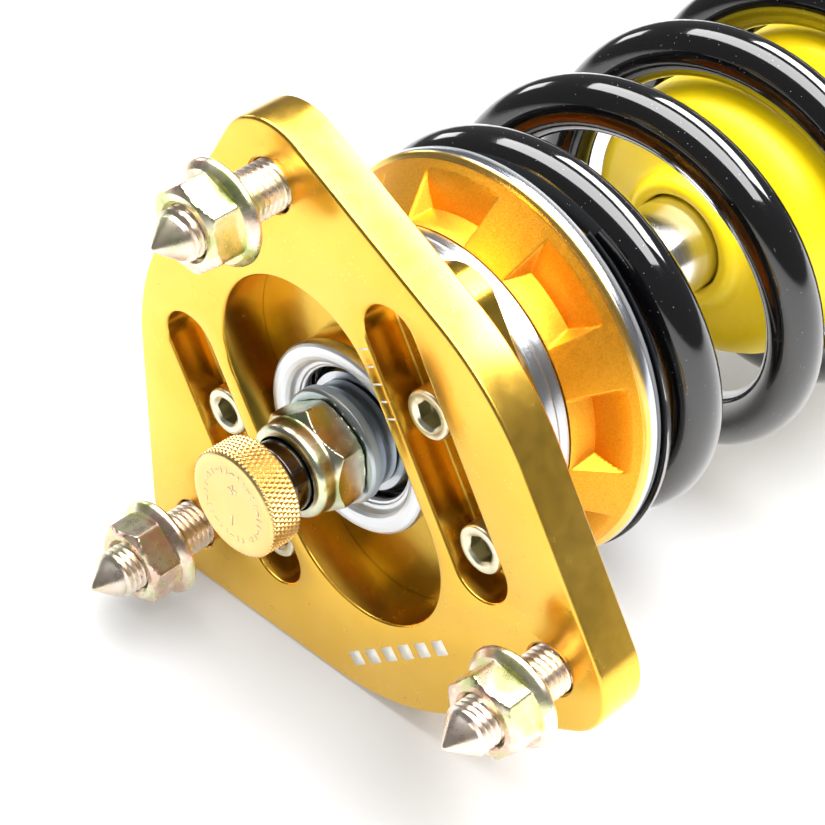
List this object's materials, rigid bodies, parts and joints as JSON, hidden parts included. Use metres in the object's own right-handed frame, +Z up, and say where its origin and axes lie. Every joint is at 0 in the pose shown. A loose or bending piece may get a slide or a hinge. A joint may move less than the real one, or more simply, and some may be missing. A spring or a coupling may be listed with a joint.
{
  "type": "coilover suspension strut",
  "caption": "Coilover strut lying down: triangular camber plate with slotted pillow-ball mount, coil spring round a monotube damper, dust boot and lower knuckle bracket.",
  "frame": {"origin": "centre of the bounding box, on the floor the strut lies on", "axes": "+X along the strut from the top mount to the lower bracket, +Z up"},
  "size_m": [0.4582, 0.1182, 0.1182],
  "materials": {
    "gold": "satin gold anodised",
    "orange": "sand-blasted orange-gold anodised",
    "zinc": "yellow zinc plated",
    "steel": "machined",
    "chrome": "polished",
    "dark": "black oxide",
    "black": "gloss powder coat",
    "yellow": "smooth moulded",
    "rubber": "matt",
    "bronze": "plain bearing bronze"
  },
  "bodies": {
    "damper_body": {"damper_tube": "steel", "gland_nut": "dark", "wiper_seal": "rubber", "rod_guide": "bronze", "base_cap": "steel", "coil_spring": "black", "dust_boot": "yellow", "bump_stop": "yellow", "lower_perch": "gold"},
    "seat_carriage": {"upper_seat": "orange", "seat_isolator": "rubber", "thrust_race": "steel"},
    "bearing_cage": {"thrust_cage": "bronze"},
    "rod_group": {"piston_rod": "chrome", "pillow_ball": "chrome", "top_nut": "zinc", "upper_spacer": "steel", "lower_washer": "steel", "thrust_housing": "steel", "rebound_stop": "rubber", "piston": "steel", "piston_band": "rubber", "shim_stack": "steel", "piston_nut": "zinc"},
    "adjuster": {"adjuster_knob": "gold"},
    "needle": {"adjuster_needle": "dark"},
    "carrier_group": {"bearing_carrier": "orange", "retainer_dish": "steel", "circlip": "dark", "ball_race": "steel", "clamp_screw_1": "zinc", "clamp_screw_2": "zinc", "clamp_screw_3": "zinc", "clamp_screw_4": "zinc"},
    "top_mount": {"top_plate": "gold", "stud_1": "zinc", "stud_2": "zinc", "stud_3": "zinc", "flange_nut_1": "zinc", "flange_nut_2": "zinc", "flange_nut_3": "zinc"},
    "reservoir_piston": {"floating_piston": "steel", "floating_seal": "rubber"},
    "perch_lock": {"perch_lock_ring": "gold"},
    "bracket_lock": {"bracket_lock_ring": "gold"},
    "knuckle_bracket": {"lower_bracket": "black"}
  },
  "joints": [
    {"name": "suspension_travel", "type": "slide", "parent": "damper_body", "child": "seat_carriage", "axis": [1, 0, 0], "range_m": [0, 0.08], "deforming": ["coil_spring", "dust_boot"]},
    {"name": "steer_swivel", "type": "hinge", "parent": "seat_carriage", "child": "rod_group", "pos_m": [-0.17288, 0.00807, 0.05491], "axis": [1, 0, 0], "range_deg": [-38, 38]},
    {"name": "cage_roll", "type": "hinge", "parent": "seat_carriage", "child": "bearing_cage", "pos_m": [-0.17238, 0.00807, 0.05491], "axis": [1, 0, 0], "range_deg": [-20, 20]},
    {"name": "knob_turn", "type": "hinge", "parent": "rod_group", "child": "adjuster", "pos_m": [-0.21988, 0.00807, 0.05491], "axis": [1, 0, 0], "range_deg": [0, 345]},
    {"name": "needle_feed", "type": "slide", "parent": "rod_group", "child": "needle", "axis": [1, 0, 0], "range_m": [0, 0.0015]},
    {"name": "mount_tilt", "type": "hinge", "parent": "rod_group", "child": "carrier_group", "pos_m": [-0.18588, 0.00807, 0.05491], "axis": [-0.0083, 1, 0], "range_deg": [-3, 3]},
    {"name": "camber_slide", "type": "slide", "parent": "carrier_group", "child": "top_mount", "axis": [-0.034, 0.4997, 0.8655], "range_m": [-0.014, 0.003]},
    {"name": "gas_piston_travel", "type": "slide", "parent": "damper_body", "child": "reservoir_piston", "axis": [1, 0, 0], "range_m": [0, 0.0185]},
    {"name": "perch_lock_travel", "type": "slide", "parent": "damper_body", "child": "perch_lock", "axis": [1, 0, 0], "range_m": [0, 0.05]},
    {"name": "bracket_lock_travel", "type": "slide", "parent": "damper_body", "child": "bracket_lock", "axis": [1, 0, 0], "range_m": [-0.01, 0]},
    {"name": "bracket_height", "type": "slide", "parent": "damper_body", "child": "knuckle_bracket", "axis": [1, 0, 0], "range_m": [0, 0.04]}
  ],
  "couplings": [
    {"joint": "cage_roll", "follows": "steer_swivel", "ratio": 0.5},
    {"joint": "knob_turn", "follows": "needle_feed", "rad_per_m": 4014},
    {"joint": "gas_piston_travel", "follows": "suspension_travel", "ratio": 0.2225}
  ]
}
